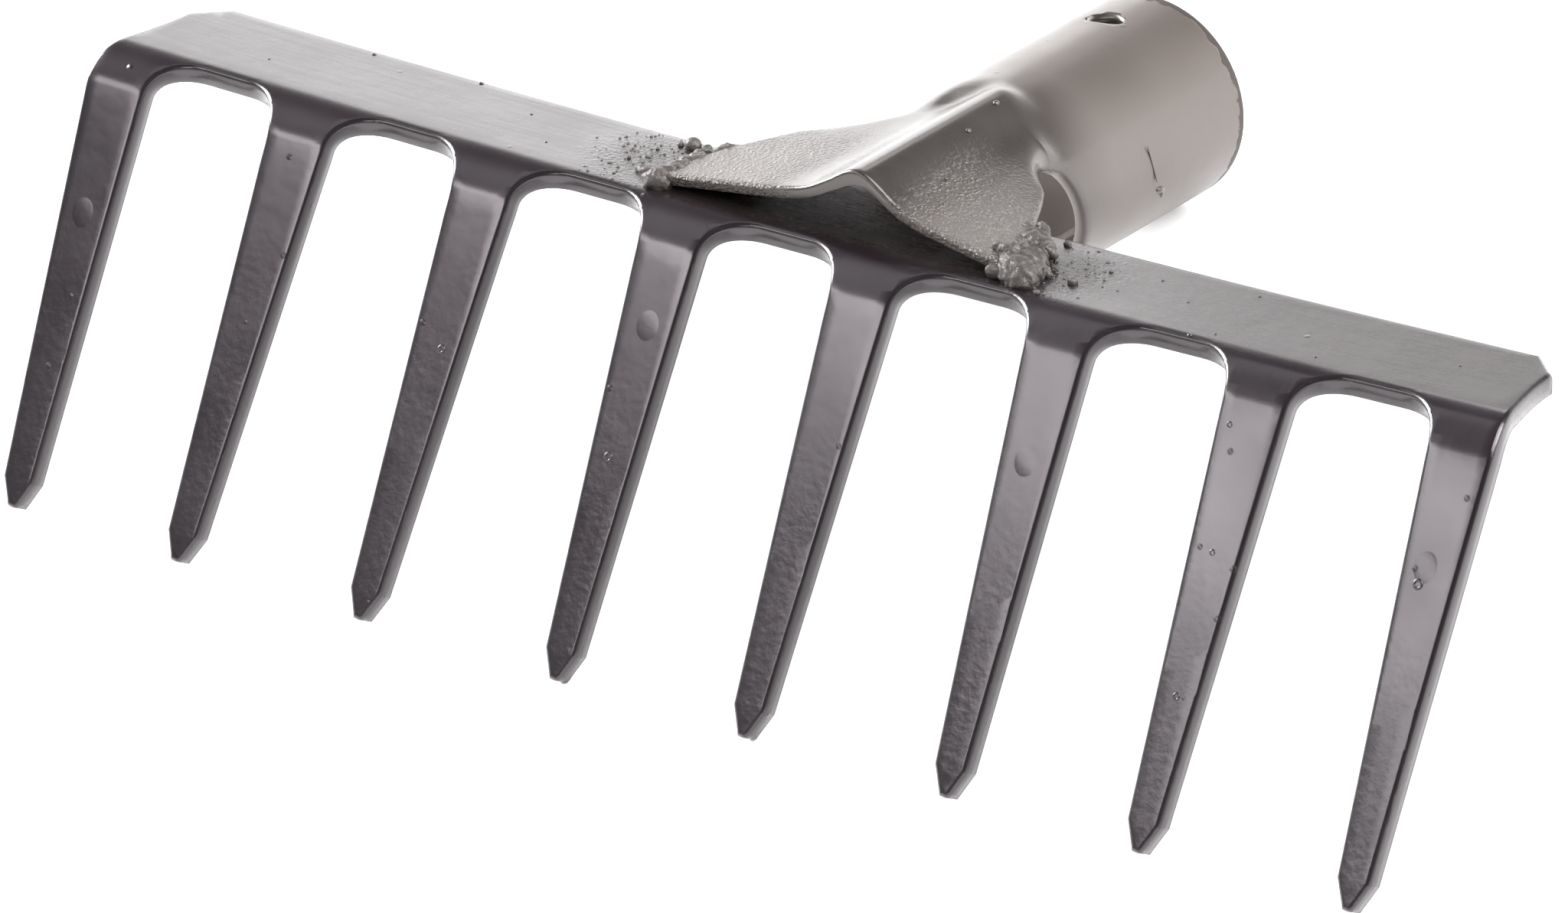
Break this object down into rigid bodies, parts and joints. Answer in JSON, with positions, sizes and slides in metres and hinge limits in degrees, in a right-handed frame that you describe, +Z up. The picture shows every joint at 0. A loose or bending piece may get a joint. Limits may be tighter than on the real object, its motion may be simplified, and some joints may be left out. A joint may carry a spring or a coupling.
{
  "type": "garden rake head",
  "caption": "Level-head garden rake head: a stamped steel comb of straight tapered tines with a short round handle socket welded on its back.",
  "frame": {"origin": "centre of the footprint, on the bench surface", "axes": "+X along the comb, +Y back towards the handle, +Z up; the head lies as on a bench, on its tine tips and the lower rim of the socket's mouth, so the band slopes down to the back by about 20 degrees"},
  "size_m": [0.2488, 0.1354, 0.0585],
  "materials": {
    "comb_paint": "thin glossy dark grey-violet paint over stamped steel, faintly brushed on the band, orange-peel lower on the tines",
    "socket_paint": "thin glossy grey paint, sandy with overspray on the saddle, worn to a pale chipped line round the mouth",
    "painted_weld": "painted weld metal, lumpy, with spatter grains and small craters"
  },
  "bodies": {
    "root": {"tine_comb": "comb_paint", "handle_socket": "socket_paint", "weld_bead_left": "painted_weld", "weld_bead_right": "painted_weld"}
  },
  "joints": []
}
